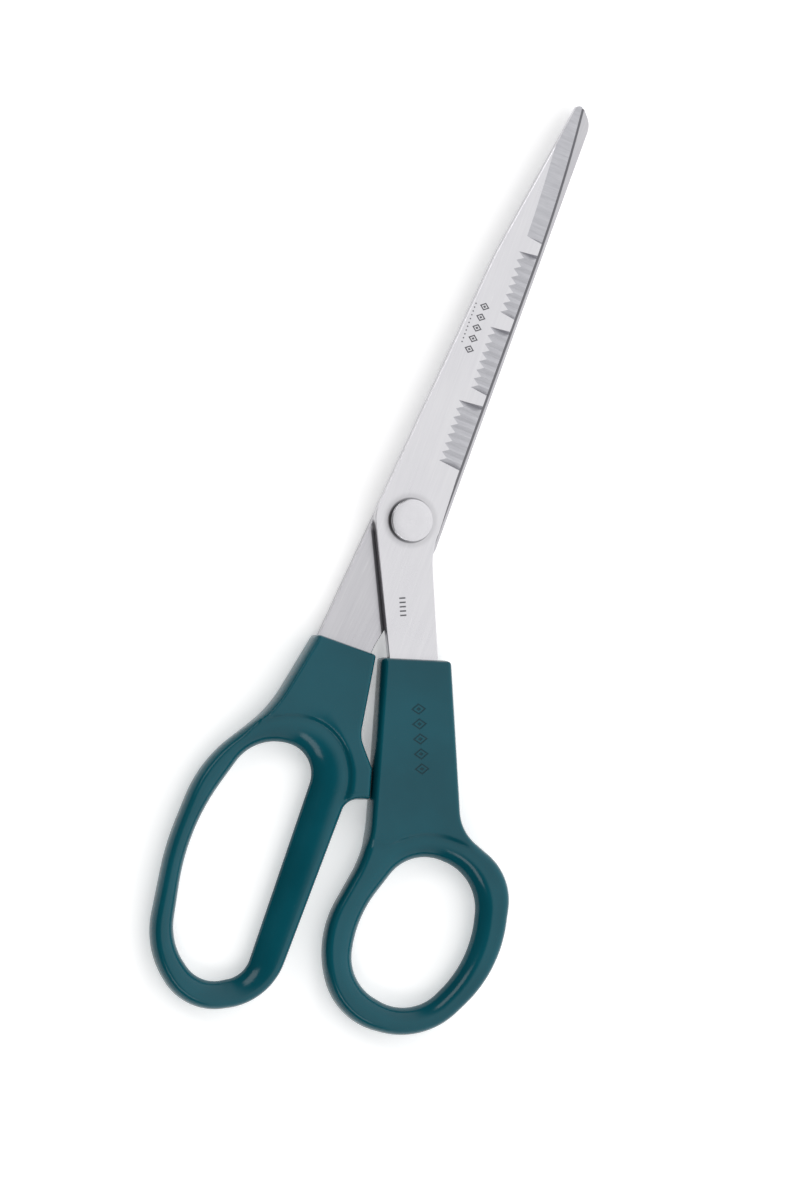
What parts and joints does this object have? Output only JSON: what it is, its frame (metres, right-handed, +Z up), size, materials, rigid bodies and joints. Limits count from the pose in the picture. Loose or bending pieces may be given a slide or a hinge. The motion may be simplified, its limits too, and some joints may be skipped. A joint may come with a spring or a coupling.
{
  "type": "bent craft scissors",
  "caption": "Bent-handle craft scissors: two stamped steel blades, the upper one ground with groups of decorative flutes along its bevel, on a riveted pivot with moulded ring handles.",
  "frame": {"origin": "under the centre of the closed scissors' box, on the surface they lie on", "axes": "+X along the closed blades towards the tips, +Y towards the finger handle, +Z up through the pivot"},
  "size_m": [0.216, 0.0784, 0.0086],
  "materials": {
    "blade_steel": "satin, fine brushing, bright enough to reflect a room softly",
    "rivet_steel": "turned and polished",
    "teal_plastic": "glossy moulded plastic, dark teal"
  },
  "bodies": {
    "finger_half": {"lower_blade": "blade_steel", "finger_handle": "teal_plastic", "pivot_rivet": "rivet_steel", "pivot_washer": "rivet_steel"},
    "thumb_half": {"upper_blade": "blade_steel", "thumb_handle": "teal_plastic"}
  },
  "joints": [
    {"name": "blade_pivot", "type": "hinge", "parent": "finger_half", "child": "thumb_half", "pos_m": [0.00866, 0.01322, 0.0042], "axis": [0, 0, 1], "range_deg": [0, 125]}
  ]
}
